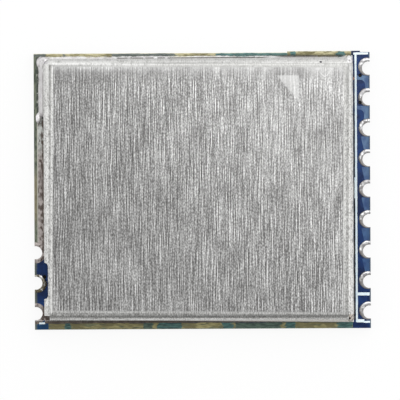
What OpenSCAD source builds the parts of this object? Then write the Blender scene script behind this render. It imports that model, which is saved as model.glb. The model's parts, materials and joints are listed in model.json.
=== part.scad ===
// Shielded video receiver module: a small circuit board with half-hole edge contacts,
// a folded tinplate can soldered over the radio, and the parts that work under the can.
// Millimetres. The origin is the middle of the board's underside, +X runs along the long
// side towards the long contact row, +Y runs to the back edge and +Z points out of the lid.

/* [Board] */
// Length of the board along X
board_w = 28; // [26:0.5:34]
// Depth of the board along Y
board_d = 23; // [21:0.5:28]
// Thickness of the laminate
board_t = 1.0; // [0.8:0.1:1.6]
// Diameter of the vias beside the contacts
via_d = 0.3; // [0.2:0.05:0.4]
// Thickness of the mask plug that closes each via at the underside
via_plug = 0.2; // [0.1:0.05:0.4]
// Length of the stub left where the board was snapped from its panel
stub_l = 6.05; // [3:0.05:9]
// Distance that the stub stands out from the back edge
stub_reach = 0.11; // [0.05:0.01:0.3]
// Distance of the stub from the corner at the long contact row
stub_inset = 0.8; // [0.5:0.1:3]

/* [Edge contacts] */
// Pitch of the contacts
pin_pitch = 2.54; // [2.3:0.01:2.8]
// Least distance from a row's last contact to the board's corner
pin_end_margin = 1.2; // [1.1:0.1:2]
// Number of contacts on the antenna edge, counted from the front corner
antenna_row_count = 3; // [3:1:5]
// Finished diameter of the half holes
hole_d = 1.1; // [0.8:0.02:1.2]
// Distance of the hole centres inside the board's edge
hole_inset = 0.09; // [0:0.01:0.12]
// Width of the tinned ring round each half hole
pad_ring = 0.33; // [0.25:0.01:0.45]
// Thickness of the plating in the holes and on the pads
plating_t = 0.06; // [0.03:0.01:0.1]
// Depth of the underside pads below the face of the solder mask
mask_step = 0.02; // [0.01:0.01:0.04]

/* [Shield can] */
// Height of the can above the board
can_h = 2.0; // [1.9:0.1:3]
// Thickness of the tinplate
sheet_t = 0.2; // [0.15:0.05:0.3]
// Outer radius of the bends round the lid
bend_r = 0.7; // [0.5:0.05:0.9]
// Board left bare beside the can on the antenna edge
can_margin_left = 0.82; // [0.7:0.02:1.2]
// Board left bare beside the can on the long contact row
can_margin_right = 1.42; // [1.2:0.02:2]
// Board left bare in front of the can
can_margin_front = 0.73; // [0.6:0.01:1]
// Board left bare behind the can
can_margin_back = 0.46; // [0.4:0.01:1]
// Side of the square relief at each folded corner
corner_relief = 0.45; // [0.3:0.05:0.6]
// Width of the cut in the skirt over the antenna contact
antenna_gap_w = 3.0; // [2:0.1:4]
// Reach of that cut into the bend
antenna_gap_reach = 0.33; // [0.25:0.01:0.5]
// Corner radius of that cut
antenna_gap_r = 0.3; // [0.1:0.05:0.3]
// Distance of that cut's middle behind the antenna contact
antenna_gap_shift = 0.2; // [0:0.05:0.3]
// Height of the gap under the skirt where the traces leave
trace_gap_h = 0.3; // [0.2:0.05:0.6]
// Length of the feet left at the ends of that skirt
trace_gap_foot = 1.2; // [0.8:0.1:3]

/* [Ground land and solder] */
// Thickness of the tinned land let into the board's top
land_t = 0.05; // [0.03:0.01:0.1]
// Bare laminate outside the land on the antenna edge
land_edge_left = 0.25; // [0.1:0.01:0.4]
// Bare laminate outside the land at the back
land_edge_back = 0.27; // [0.1:0.01:0.35]
// Bare laminate outside the land at the front
land_edge_front = 0.52; // [0.3:0.01:0.55]
// Reach of the land inside the can's skirts
land_reach = 0.3; // [0.2:0.05:0.4]
// Height that the solder climbs up the skirts
solder_climb = 0.7; // [0.4:0.05:1]
// Length of the thick bead down the antenna edge
solder_left_l = 4.6; // [3:0.1:8]
// Height of the solder plugs in the corner reliefs
plug_h = 1.3; // [0.8:0.1:1.6]

/* [Receiver chip] */
// Side of the square package
chip_w = 6; // [5:0.5:7]
// Height of the package
chip_h = 0.85; // [0.7:0.05:1]
// Pitch of the leads along each side
lead_pitch = 0.5; // [0.4:0.05:0.65]
// Width of one lead
lead_w = 0.24; // [0.18:0.02:0.3]
// Length of one lead under the package
lead_l = 0.4; // [0.3:0.05:0.5]
// Thickness of the lead frame
lead_t = 0.2; // [0.1:0.05:0.25]
// Moulding left between the leads and the soldered paddle
paddle_gap = 0.5; // [0.3:0.05:0.7]
// Moulding left at each corner outside the last lead
lead_corner = 0.6; // [0.5:0.05:0.8]

/* [Crystal and filters] */
// Length of the crystal's ceramic base
crystal_l = 5.0; // [3.2:0.1:5.5]
// Width of the crystal's ceramic base
crystal_w = 3.2; // [2.5:0.1:3.5]
// Height of the crystal's ceramic base
crystal_base_h = 0.5; // [0.3:0.05:0.6]
// Height of the crystal's metal cap
crystal_cap_h = 0.6; // [0.4:0.05:0.8]
// Side of the square surface wave filter
saw_w = 3.8; // [3:0.1:4.2]
// Height of the surface wave filter's ceramic base
saw_base_h = 0.9; // [0.7:0.05:1.1]
// Thickness of the surface wave filter's lid
saw_lid_h = 0.25; // [0.15:0.05:0.4]
// Ledge left round the caps on their ceramic bases
cap_ledge = 0.2; // [0.1:0.05:0.3]
// Corner radius of the caps
cap_corner_r = 0.4; // [0.2:0.05:0.6]
// Length of the ceramic band filter
band_l = 2.0; // [1.6:0.1:2.5]
// Width of the ceramic band filter
band_w = 1.25; // [0.8:0.05:1.4]
// Height of the ceramic band filter
band_h = 0.95; // [0.6:0.05:1.1]
// Length of a sound filter's case
sound_l = 6.5; // [5:0.1:7]
// Width of a sound filter's case
sound_w = 2.8; // [2.4:0.1:3]
// Height of a sound filter's case
sound_h = 1.2; // [0.9:0.05:1.3]
// Width of a sound filter's terminal strips
sound_strip_w = 0.9; // [0.6:0.1:1.2]

/* [Moulded transistors and amplifiers] */
// Length of the low noise amplifier's body
lna_l = 2.0; // [1.8:0.1:2.4]
// Width of the low noise amplifier's body
lna_w = 1.25; // [1.1:0.05:1.5]
// Length of the regulator's and the video amplifier's body
sot_l = 2.9; // [2.7:0.1:3.2]
// Width of the regulator's and the video amplifier's body
sot_w = 1.6; // [1.4:0.05:1.8]
// Pitch of the gull wing leads on the larger bodies
sot_pitch = 0.95; // [0.8:0.05:1]
// Pitch of the gull wing leads on the smaller body
lna_pitch = 1.3; // [1:0.05:1.4]
// Height of the moulded bodies
mould_h = 1.0; // [0.9:0.05:1.1]
// Gap under the moulded bodies
mould_lift = 0.06; // [0.03:0.01:0.1]
// Length that the gull wing leads stand out from a body
wing_reach = 0.55; // [0.45:0.05:0.7]
// Length of a gull wing lead's foot
wing_foot = 0.3; // [0.2:0.05:0.35]
// Width of a gull wing lead
wing_w = 0.38; // [0.3:0.02:0.5]
// Thickness of a gull wing lead
wing_t = 0.12; // [0.08:0.01:0.15]

/* [Power parts] */
// Length of a tantalum capacitor's body
tantalum_l = 3.2; // [2.8:0.1:3.5]
// Width of a tantalum capacitor's body
tantalum_w = 1.6; // [1.2:0.1:1.8]
// Height of a tantalum capacitor
tantalum_h = 1.2; // [0.9:0.05:1.3]
// Thickness of the flat terminals under the larger parts
strap_t = 0.1; // [0.06:0.01:0.15]
// Length of a tantalum terminal's foot
strap_foot = 0.8; // [0.5:0.05:1]
// Diameter of the choke's lower flange
choke_d = 3.0; // [2.4:0.1:3.2]
// Height of the choke
choke_h = 1.2; // [0.9:0.05:1.3]
// Thickness of the choke's two flanges
choke_flange_t = 0.3; // [0.2:0.05:0.35]
// Diameter of the choke's post
choke_post_d = 1.2; // [0.8:0.1:1.4]
// Step from the choke's lower flange in to its upper flange and winding
choke_step = 0.2; // [0.1:0.05:0.3]

/* [Chip parts] */
// Length of the small chip capacitors and resistors
chip_part_l = 1.0; // [0.6:0.05:1.2]
// Width and height of the small chip capacitors
chip_part_w = 0.5; // [0.3:0.05:0.6]
// Height of the chip resistors
resistor_h = 0.35; // [0.25:0.05:0.4]
// Length of the chip inductors
inductor_l = 1.6; // [1.2:0.1:1.8]
// Width and height of the chip inductors
inductor_w = 0.8; // [0.6:0.05:0.9]
// Length of the metal end on every chip part
end_cap_l = 0.22; // [0.15:0.01:0.28]
// Step from the metal ends down to the body between them
end_cap_step = 0.03; // [0.02:0.01:0.05]

/* [Layout under the can] */
// Place of the receiver chip's middle along X
chip_x = 0.3; // [-0.5:0.1:1]
// Place of the receiver chip's middle along Y
chip_y = -3.4; // [-4:0.1:-2.8]
// Clear strip kept round each part
part_gap = 0.5; // [0.3:0.05:0.6]
// Clear strip kept inside the can's skirts
wall_gap = 0.5; // [0.4:0.05:0.6]
// Pitch of the chip parts in a row
row_pitch = 1.1; // [0.9:0.05:1.3]
// Number of chip capacitors in each row beside the receiver chip
row_count = 5; // [3:1:5]

/* [Hidden] */
$fn = 48;
eps = 0.1;

// The contacts of the long row fill the right edge at the pitch.
right_row_count = floor((board_d - 2 * pin_end_margin) / pin_pitch) + 1;
contact_count = right_row_count + antenna_row_count;
row_half = (right_row_count - 1) / 2 * pin_pitch;
hole_r = hole_d / 2;
pad_r = hole_r + pad_ring;

// Contacts count up the right edge from the front, then down the antenna edge.
function on_right(k) = k <= right_row_count;
function contact_side(k) = on_right(k) ? 1 : -1;
function contact_row(k) = on_right(k) ? k - 1 : contact_count - k;
function contact_y(k) = contact_row(k) * pin_pitch - row_half;
function contact_x(k) = contact_side(k) * (board_w / 2 - hole_inset);
function contact_name(k) = str("edge_contact_", k);

// The antenna contact is the middle one of its edge.
antenna_contact = right_row_count + ceil(antenna_row_count / 2);
antenna_y = contact_y(antenna_contact);

// Each via lies on its contact's ring: angle from the inward direction, distance as a share of the ring's radius.
via_sites = [[right_row_count, -40, 1.06], [right_row_count - 1, -24, 0.9], [antenna_contact, 36, 1.02]];

// Outer faces of the can
can_left = -board_w / 2 + can_margin_left;
can_right = board_w / 2 - can_margin_right;
can_front = -board_d / 2 + can_margin_front;
can_back = board_d / 2 - can_margin_back;
can_w = can_right - can_left;
can_d = can_back - can_front;

// Faces that the parts under the can keep clear of
room_left = can_left + sheet_t + wall_gap;
room_right = can_right - sheet_t - wall_gap;
room_front = can_front + sheet_t + wall_gap;
room_back = can_back - sheet_t - wall_gap;

// Outer edges of the ground land
land_left = -board_w / 2 + land_edge_left;
land_front = -board_d / 2 + land_edge_front;
land_back = board_d / 2 - land_edge_back;
land_inset = sheet_t + land_reach;

// Receiver chip
leads_per_side = floor((chip_w - 2 * lead_corner - lead_w) / lead_pitch) + 1;
paddle_w = chip_w - 2 * (lead_l + paddle_gap);
chip_left = chip_x - chip_w / 2;
chip_right = chip_x + chip_w / 2;
chip_back = chip_y + chip_w / 2;
chip_front = chip_y - chip_w / 2;

// The radio chain runs in from the antenna contact.
coupling_x = room_left + chip_part_l / 2;
lna_x = room_left + chip_part_l + part_gap + lna_l / 2;
band_x = lna_x + lna_l / 2 + part_gap + band_l / 2;
series_x = band_x + band_l / 2 + part_gap + chip_part_l / 2;
crystal_x = chip_left - 2 * part_gap - crystal_w / 2;
crystal_y = antenna_y + lna_w / 2 + wing_reach + part_gap + crystal_l / 2;
saw_y = chip_back + chip_part_l + 2 * part_gap + saw_w / 2;

// The sound filters line the back wall.
sound_y = room_back - sound_w / 2;
sound_x = [for (i = [0, 1]) room_left + sound_l / 2 + i * (sound_l + 2 * part_gap)];

// The power parts stand in a column behind the resistors of the contact row.
column_right = room_right - chip_part_l - part_gap;
tantalum_x = column_right - tantalum_l / 2;
tantalum_y = [for (i = [0, 1]) room_back - tantalum_w / 2 - i * (tantalum_w + part_gap)];
sot_x = column_right - sot_w / 2 - wing_reach;
regulator_y = tantalum_y[1] - tantalum_w / 2 - part_gap - sot_l / 2;
amplifier_y = regulator_y - sot_l - 2 * part_gap;
choke_x = column_right - choke_d / 2;
choke_y = room_front + choke_d / 2;

// Sites of the chip parts: place along X, place along Y, turn
function row_offset(i) = (i - (row_count - 1) / 2) * row_pitch;
chip_row_gap = part_gap + chip_part_l / 2;
capacitor_sites = concat(
    [for (i = [0 : row_count - 1]) [chip_x + row_offset(i), chip_back + chip_row_gap, 90]],
    [for (i = [0 : row_count - 1]) [chip_x + row_offset(i), chip_front - chip_row_gap, 90]],
    [for (i = [0 : row_count - 1]) [chip_right + chip_row_gap, chip_y + row_offset(i), 0]],
    [[coupling_x, antenna_y, 0], [series_x, antenna_y, 0]]);
resistor_sites = [for (k = [2 : right_row_count - 1]) [room_right - chip_part_l / 2, contact_y(k), 0]];
inductor_reach = saw_w / 2 + part_gap + inductor_w / 2;
inductor_sites = [for (side = [-1, 1]) [chip_x + side * inductor_reach, saw_y, 90]];

// Places its children on the board's top face.
module on_board(x, y, turn = 0) {
    translate([x, y, board_t]) rotate([0, 0, turn]) children();
}

// Box centred on the origin in plan, standing on z.
module block(l, w, h, z = 0) {
    translate([-l / 2, -w / 2, z]) cube([l, w, h]);
}

// Box between two corners in plan.
module slab(x0, y0, x1, y1, z, h) {
    translate([x0, y0, z]) cube([x1 - x0, y1 - y0, h]);
}

// Rectangle with round corners.
module soft_rectangle(l, w, r) {
    square([l - 2 * r, w], center = true);
    square([l, w - 2 * r], center = true);
    for (sx = [-1, 1]) for (sy = [-1, 1])
        translate([sx * (l / 2 - r), sy * (w / 2 - r)]) circle(r);
}

// Laminate with the stub of its panel, and with the half holes, pad seats, land seat and vias cut in it.
module circuit_board() {
    stub_end = board_w / 2 - stub_inset;
    color("midnightblue") difference() {
        union() {
            block(board_w, board_d, board_t);
            slab(stub_end - stub_l, board_d / 2 - eps, stub_end, board_d / 2 + stub_reach, 0, board_t);
        }
        for (k = [1 : contact_count]) contact_seat(k);
        translate([0, 0, board_t - land_t]) linear_extrude(land_t + eps) land_outline();
        via_holes();
    }
}

module contact_seat(k) {
    translate([contact_x(k), contact_y(k), 0]) {
        translate([0, 0, -eps]) cylinder(r = hole_r + plating_t, h = board_t + 2 * eps);
        translate([0, 0, -eps]) cylinder(r = pad_r, h = plating_t + mask_step + eps);
        translate([0, 0, board_t - plating_t]) cylinder(r = pad_r, h = plating_t + eps);
    }
}

module via_holes() {
    for (site = via_sites) {
        inward = -contact_side(site[0]);
        reach = site[2] * pad_r * [inward * cos(site[1]), sin(site[1]), 0];
        translate([contact_x(site[0]), contact_y(site[0]), via_plug] + reach)
            cylinder(d = via_d, h = board_t);
    }
}

// Plated half barrel with a tinned ring on each face of the board, cut off at the board's edge.
module edge_contact(k) {
    under = mask_step;
    ring = [[hole_r, under], [pad_r, under], [pad_r, under + plating_t],
            [hole_r + plating_t, under + plating_t], [hole_r + plating_t, board_t - plating_t],
            [pad_r, board_t - plating_t], [pad_r, board_t], [hole_r, board_t]];
    color("silver") difference() {
        intersection() {
            translate([contact_x(k), contact_y(k), 0]) rotate_extrude() polygon(ring);
            block(board_w, board_d, board_t);
        }
        via_holes();
    }
}

// Tinned land under the can's skirts, clear of the antenna contact and of the leaving traces.
module land_outline() {
    foot = corner_relief + trace_gap_foot;
    difference() {
        union() {
            land_strip(land_left, contact_y(right_row_count + 1), can_left + land_inset, land_back);
            land_strip(land_left, can_back - land_inset, can_right, land_back);
            land_strip(can_left, land_front, can_right, can_front + land_inset);
            land_strip(can_right - land_inset, land_front, can_right, can_front + foot);
            land_strip(can_right - land_inset, can_back - foot, can_right, land_back);
        }
        for (k = [right_row_count + 1 : contact_count])
            translate([contact_x(k), contact_y(k)]) circle(pad_r);
    }
}

module land_strip(x0, y0, x1, y1) {
    translate([x0, y0]) square([x1 - x0, y1 - y0]);
}

module ground_land() {
    color("lightgray") translate([0, 0, board_t - land_t]) linear_extrude(land_t) land_outline();
}

// Section of the lid with its two bends, standing on the board.
module bend_section(w, h, r, below = 0) {
    translate([-w / 2, -below]) square([w, h - r + below]);
    translate([r - w / 2, -below]) square([w - 2 * r, h + below]);
    for (side = [-1, 1]) translate([side * (w / 2 - r), h - r]) circle(r);
}

// Lid-shaped block whose bends meet in mitres at the corners.
module bend_block(w, d, h, r, below = 0) {
    intersection() {
        rotate([90, 0, 0]) linear_extrude(d, center = true) bend_section(w, h, r, below);
        rotate([90, 0, 90]) linear_extrude(w, center = true) bend_section(d, h, r, below);
    }
}

// Outside of the can with its corner reliefs taken out.
module can_envelope() {
    difference() {
        translate([(can_left + can_right) / 2, (can_front + can_back) / 2, board_t])
            bend_block(can_w, can_d, can_h, bend_r);
        for (x = [can_left, can_right]) for (y = [can_front, can_back])
            translate([x, y, board_t - eps])
                block(2 * corner_relief, 2 * corner_relief, can_h + 2 * eps);
    }
}

// One sheet folded down on four sides, open at the corners, over the antenna contact
// and over the traces of the long contact row.
module shield_can() {
    color("lightslategray") difference() {
        can_envelope();
        translate([(can_left + can_right) / 2, (can_front + can_back) / 2, board_t])
            bend_block(can_w - 2 * sheet_t, can_d - 2 * sheet_t, can_h - sheet_t, bend_r - sheet_t, eps);
        translate([can_left, antenna_y + antenna_gap_shift, board_t - eps]) linear_extrude(can_h + 2 * eps)
            soft_rectangle(2 * antenna_gap_reach, antenna_gap_w, min(antenna_gap_r, antenna_gap_reach));
        slab(can_right - sheet_t - eps, can_front + corner_relief + trace_gap_foot, can_right + eps,
             can_back - corner_relief - trace_gap_foot, board_t - eps, trace_gap_h + eps);
    }
}

// Hollow-faced section of a bead that runs out to w on the land and climbs to h.
module bead_section(w, h) {
    toe = w / 6;
    polygon([[0, 0], [w, 0], [w, toe], [w / 3, h / 3], [toe, h], [0, h]]);
}

// Bead along the back skirt, bead down the antenna edge, and plugs in three corner reliefs.
module shield_solder() {
    plug_r = land_back - can_back + corner_relief;
    color("whitesmoke") difference() {
        intersection() {
            union() {
                translate([can_right - corner_relief, can_back, board_t]) rotate([90, 0, -90])
                    mirror([1, 0, 0]) linear_extrude(can_w - 2 * corner_relief)
                        bead_section(land_back - can_back, solder_climb);
                translate([can_left, can_back - corner_relief, board_t]) rotate([90, 0, 0])
                    mirror([1, 0, 0]) linear_extrude(solder_left_l)
                        bead_section(can_left - land_left, solder_climb);
                for (corner = [[can_left, can_back, -1], [can_right, can_back, -1], [can_right, can_front, 1]])
                    translate([corner[0] - sign(corner[0]) * corner_relief,
                               corner[1] + corner[2] * corner_relief, board_t])
                        cylinder(r1 = plug_r, r2 = plug_r / 2, h = plug_h);
            }
            slab(land_left, land_front, can_right, land_back, board_t, can_h);
        }
        can_envelope();
    }
}

// Leadless square package.
module receiver_chip() {
    color("dimgray") difference() {
        on_board(chip_x, chip_y) block(chip_w, chip_w, chip_h);
        lead_frame(eps);
    }
}

module receiver_chip_leads() {
    color("silver") lead_frame(0);
}

// Leads along the four sides and the paddle in the middle; grow widens them as cutters.
module lead_frame(grow) {
    first = -(leads_per_side - 1) / 2 * lead_pitch;
    on_board(chip_x, chip_y) {
        for (turn = [0 : 90 : 270]) rotate([0, 0, turn])
            for (i = [0 : leads_per_side - 1])
                translate([chip_w / 2 - lead_l, first + i * lead_pitch - lead_w / 2, -grow])
                    cube([lead_l + grow, lead_w, lead_t + grow]);
        block(paddle_w, paddle_w, lead_t + grow, -grow);
    }
}

// Ceramic base and drawn metal cap of the reference crystal.
module crystal_base() {
    color("wheat") on_board(crystal_x, crystal_y) block(crystal_w, crystal_l, crystal_base_h);
}

module crystal_cap() {
    color("gainsboro") on_board(crystal_x, crystal_y)
        seated_cap(crystal_w, crystal_l, crystal_base_h, crystal_cap_h);
}

module wave_filter_base() {
    color("wheat") on_board(chip_x, saw_y) block(saw_w, saw_w, saw_base_h);
}

module wave_filter_lid() {
    color("gold") on_board(chip_x, saw_y) seated_cap(saw_w, saw_w, saw_base_h, saw_lid_h);
}

module seated_cap(l, w, z, h) {
    translate([0, 0, z]) linear_extrude(h)
        soft_rectangle(l - 2 * cap_ledge, w - 2 * cap_ledge, cap_corner_r);
}

// Body of a chip part between its metal ends.
module chip_body(l, w, h) {
    block(l - 2 * end_cap_l, w - 2 * end_cap_step, h - 2 * end_cap_step, end_cap_step);
}

module chip_ends(l, w, h) {
    for (side = [-1, 1]) translate([side * (l - end_cap_l) / 2, 0, 0]) block(end_cap_l, w, h);
}

module band_filter() {
    color("steelblue") on_board(band_x, antenna_y) chip_body(band_l, band_w, band_h);
}

module band_filter_ends() {
    color("silver") on_board(band_x, antenna_y) chip_ends(band_l, band_w, band_h);
}

// Moulded body with drafted faces and an upright band where the leads come out.
module moulded_body(l, w) {
    draft = wing_t;
    middle = (mould_lift + mould_h) / 2;
    half = [[w / 2 - draft, mould_lift], [w / 2, middle - wing_t], [w / 2, middle + wing_t],
            [w / 2 - draft, mould_h]];
    outline = concat(half, [for (i = [3 : -1 : 0]) [-half[i][0], half[i][1]]]);
    rotate([90, 0, 90]) linear_extrude(l, center = true) polygon(outline);
}

// Gull wing lead at each offset along the +Y side of a body of width w.
module wings(w, offsets) {
    middle = (mould_lift + mould_h) / 2;
    face = w / 2;
    tip = face + wing_reach;
    heel = tip - wing_foot;
    outline = [[face, middle - wing_t / 2], [heel, middle - wing_t / 2], [heel, 0], [tip, 0],
               [tip, wing_t], [heel + wing_t, wing_t], [heel + wing_t, middle + wing_t / 2],
               [face, middle + wing_t / 2]];
    for (offset_x = offsets) translate([offset_x, 0, 0])
        rotate([90, 0, 90]) linear_extrude(wing_w, center = true) polygon(outline);
}

module low_noise_amplifier() {
    color("dimgray") on_board(lna_x, antenna_y) moulded_body(lna_l, lna_w);
}

module low_noise_amplifier_leads() {
    color("silver") on_board(lna_x, antenna_y)
        for (turn = [0, 180]) rotate([0, 0, turn]) wings(lna_w, [-lna_pitch / 2, lna_pitch / 2]);
}

module voltage_regulator() {
    color("dimgray") on_board(sot_x, regulator_y, 90) moulded_body(sot_l, sot_w);
}

module voltage_regulator_leads() {
    color("silver") on_board(sot_x, regulator_y, 90) {
        wings(sot_w, [-sot_pitch, 0, sot_pitch]);
        rotate([0, 0, 180]) wings(sot_w, [-sot_pitch, sot_pitch]);
    }
}

module video_amplifier() {
    color("dimgray") on_board(sot_x, amplifier_y, 90) moulded_body(sot_l, sot_w);
}

module video_amplifier_leads() {
    color("silver") on_board(sot_x, amplifier_y, 90)
        for (turn = [0, 180]) rotate([0, 0, turn]) wings(sot_w, [-sot_pitch, 0, sot_pitch]);
}

// Sound filter case standing on its terminal strips.
module sound_filter(i) {
    color("peru") on_board(sound_x[i], sound_y) block(sound_l, sound_w, sound_h - strap_t, strap_t);
}

module sound_filter_strips() {
    strip_pitch = (sound_l - sound_strip_w) / 2;
    color("silver") for (x = sound_x) for (step = [-1, 0, 1])
        on_board(x + step * strip_pitch, sound_y) block(sound_strip_w, sound_w, strap_t);
}

// Tantalum capacitor bodies between straps that fold under their ends.
module tantalum_capacitor(i) {
    color("goldenrod") on_board(tantalum_x, tantalum_y[i])
        block(tantalum_l - 2 * strap_t, tantalum_w, tantalum_h - strap_t, strap_t);
}

module tantalum_straps() {
    strap_w = tantalum_w * 3 / 4;
    end = tantalum_l / 2;
    outline = [[end, 0], [end, tantalum_h * 2 / 3], [end - strap_t, tantalum_h * 2 / 3],
               [end - strap_t, strap_t], [end - strap_foot, strap_t], [end - strap_foot, 0]];
    color("silver") for (y = tantalum_y) for (turn = [0, 180])
        on_board(tantalum_x, y, turn) rotate([90, 0, 0])
            linear_extrude(strap_w, center = true) polygon(outline);
}

// Drum core of the supply choke, its winding and the two pads that it stands on.
module choke_core() {
    upper_r = choke_d / 2 - choke_step;
    low = strap_t + choke_flange_t;
    high = choke_h - choke_flange_t;
    color("darkslategray") on_board(choke_x, choke_y) rotate_extrude()
        polygon([[0, strap_t], [choke_d / 2, strap_t], [choke_d / 2, low], [choke_post_d / 2, low],
                 [choke_post_d / 2, high], [upper_r, high], [upper_r, choke_h], [0, choke_h]]);
}

module choke_winding() {
    low = strap_t + choke_flange_t;
    wound_r = choke_d / 2 - choke_step - strap_t;
    color("chocolate") on_board(choke_x, choke_y) rotate_extrude()
        translate([choke_post_d / 2, low])
            square([wound_r - choke_post_d / 2, choke_h - choke_flange_t - low]);
}

module choke_pads() {
    color("silver") on_board(choke_x, choke_y) intersection() {
        cylinder(d = choke_d, h = strap_t);
        for (side = [-1, 1]) translate([side * choke_d / 3, 0, 0]) block(choke_d / 3, choke_d, strap_t);
    }
}

module chip_capacitors() {
    color("tan") for (s = capacitor_sites) on_board(s[0], s[1], s[2])
        chip_body(chip_part_l, chip_part_w, chip_part_w);
}

module chip_capacitor_ends() {
    color("silver") for (s = capacitor_sites) on_board(s[0], s[1], s[2])
        chip_ends(chip_part_l, chip_part_w, chip_part_w);
}

module chip_resistors() {
    color("black") for (s = resistor_sites) on_board(s[0], s[1], s[2])
        chip_body(chip_part_l, chip_part_w, resistor_h);
}

module chip_resistor_ends() {
    color("silver") for (s = resistor_sites) on_board(s[0], s[1], s[2])
        chip_ends(chip_part_l, chip_part_w, resistor_h);
}

module chip_inductors() {
    color("slategray") for (s = inductor_sites) on_board(s[0], s[1], s[2])
        chip_body(inductor_l, inductor_w, inductor_w);
}

module chip_inductor_ends() {
    color("silver") for (s = inductor_sites) on_board(s[0], s[1], s[2])
        chip_ends(inductor_l, inductor_w, inductor_w);
}

circuit_board();
for (k = [1 : contact_count]) edge_contact(k);
ground_land();
shield_can();
shield_solder();
receiver_chip();
receiver_chip_leads();
crystal_base();
crystal_cap();
wave_filter_base();
wave_filter_lid();
band_filter();
band_filter_ends();
low_noise_amplifier();
low_noise_amplifier_leads();
voltage_regulator();
voltage_regulator_leads();
video_amplifier();
video_amplifier_leads();
for (i = [0, 1]) sound_filter(i);
sound_filter_strips();
for (i = [0, 1]) tantalum_capacitor(i);
tantalum_straps();
choke_core();
choke_winding();
choke_pads();
chip_capacitors();
chip_capacitor_ends();
chip_resistors();
chip_resistor_ends();
chip_inductors();
chip_inductor_ends();
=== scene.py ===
# %% [markdown]
# # A shielded video receiver module
# The module is a small blue circuit board with plated half holes on two edges, and a can of brushed
# tinplate soldered over its radio. The measured solids come first and stay where they are. This
# lesson gives each its finish and models again, with softer edges and uneven solder, the few pieces
# that the eye rests on.

# %% Load the measured part
import json
import math
import bmesh
import bpy
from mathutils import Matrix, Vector


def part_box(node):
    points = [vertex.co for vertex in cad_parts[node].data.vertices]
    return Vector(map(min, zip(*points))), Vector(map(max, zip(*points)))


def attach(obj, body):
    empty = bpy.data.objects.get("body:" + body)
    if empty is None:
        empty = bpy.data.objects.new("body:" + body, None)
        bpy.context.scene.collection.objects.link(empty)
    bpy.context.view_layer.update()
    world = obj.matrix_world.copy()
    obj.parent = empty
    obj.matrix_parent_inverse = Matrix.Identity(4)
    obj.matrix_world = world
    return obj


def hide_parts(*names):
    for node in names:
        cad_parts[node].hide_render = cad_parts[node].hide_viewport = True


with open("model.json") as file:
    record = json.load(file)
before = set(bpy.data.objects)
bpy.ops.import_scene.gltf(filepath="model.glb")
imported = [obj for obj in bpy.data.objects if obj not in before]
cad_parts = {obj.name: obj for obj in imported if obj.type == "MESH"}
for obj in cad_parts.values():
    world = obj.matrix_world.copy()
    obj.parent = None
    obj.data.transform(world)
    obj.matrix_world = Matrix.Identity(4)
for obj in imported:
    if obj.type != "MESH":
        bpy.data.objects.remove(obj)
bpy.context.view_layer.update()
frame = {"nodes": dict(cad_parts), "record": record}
nodes = frame["nodes"]
MM = 0.001

# %% [markdown]
# ## Sizes from the frame
# Every place here is worked out from the measured boxes, in millimetres: low and high are the lowest
# and the highest corner of a box.

# %% Read the sizes
def box_mm(node):
    """Corners of a measured node, in millimetres."""
    low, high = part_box(node)
    return low / MM, high / MM


board_low, board_high = box_mm("circuit_board")
can_low, can_high = box_mm("shield_can")
land_low, land_high = box_mm("ground_land")
can_size = can_high - can_low
top = board_high.z
contact_count = 12
right_contacts = 9
antenna_contact = 11
ground_contacts = (10, 12)
contact_names = [f"edge_contact_{k}" for k in range(1, contact_count + 1)]
contact_boxes = [box_mm(name) for name in contact_names]
contact_y = [(low.y + high.y) / 2 for low, high in contact_boxes]
hole_r = frame["record"]["mounts"][1]["dims"]["hole_r_mm"]
first_low, first_high = contact_boxes[0]
pad_r = (first_high.y - first_low.y) / 2
hole_inset = board_high.x - pad_r - first_low.x
board_back = -board_low.y
pitch = contact_y[1] - contact_y[0]
bend_r = 0.7
sheet_t = 0.2
via_d = 0.3
via_plug = 0.2
# By contact: the angle to its via in degrees, and the distance in pad radii.
via_sites = {9: (-40, 1.06), 8: (-24, 0.9), 11: (36, 1.02)}


def contact_centre(number):
    """Side of the board, 1 or -1, and middle of one half hole."""
    side = 1 if number <= right_contacts else -1
    return side, Vector((side * (board_high.x - hole_inset), contact_y[number - 1], 0))


def via_place(number):
    """Middle of the via beside one contact, at the underside."""
    side, centre = contact_centre(number)
    angle_deg, share = via_sites[number]
    angle = math.radians(angle_deg)
    away = share * pad_r
    return centre + Vector((-side * away * math.cos(angle), away * math.sin(angle), 0))


print("board top at", round(top, 3), "mm, contacts every", round(pitch, 3), "mm")

# %% [markdown]
# ## The camera
# The view is from straight above through a long lens, so that the sides hardly show. It has 12 pixels
# to the millimetre on the board's face, and the module lies turned by a third of a degree.

# %% Place the camera
image_px = 400
px_per_mm = 12.0
origin_px = (202.3, 190.9)
turn_deg = 0.3
camera_height = 600.0
sensor_mm = 36.0

eye_x = (image_px / 2 - origin_px[0]) / px_per_mm
eye_y = (origin_px[1] - image_px / 2) / px_per_mm
lens = bpy.data.cameras.new("eye")
lens.sensor_width = sensor_mm
lens.lens = sensor_mm * camera_height / (image_px / px_per_mm)
lens.clip_start = 0.01
lens.clip_end = 100.0
camera = bpy.data.objects.new("eye", lens)
camera.location = Vector((eye_x, eye_y, top + camera_height)) * MM
camera.rotation_euler = (0.0, 0.0, -math.radians(turn_deg))
scene = bpy.context.scene
scene.collection.objects.link(camera)
scene.camera = camera
scene.view_settings.view_transform = "Standard"
print("camera with a lens of", round(lens.lens), "mm")

# %% [markdown]
# ## Writing shader maths
# A finish is a small sum: a noise here, a band there, mixed into a colour. Drawn as nodes such sums
# are hard to read, so this class wraps one socket and lets Python's own operators add the nodes. A
# colour is written as the red, green and blue of a picture, and mixing turns it into linear values.

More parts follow.
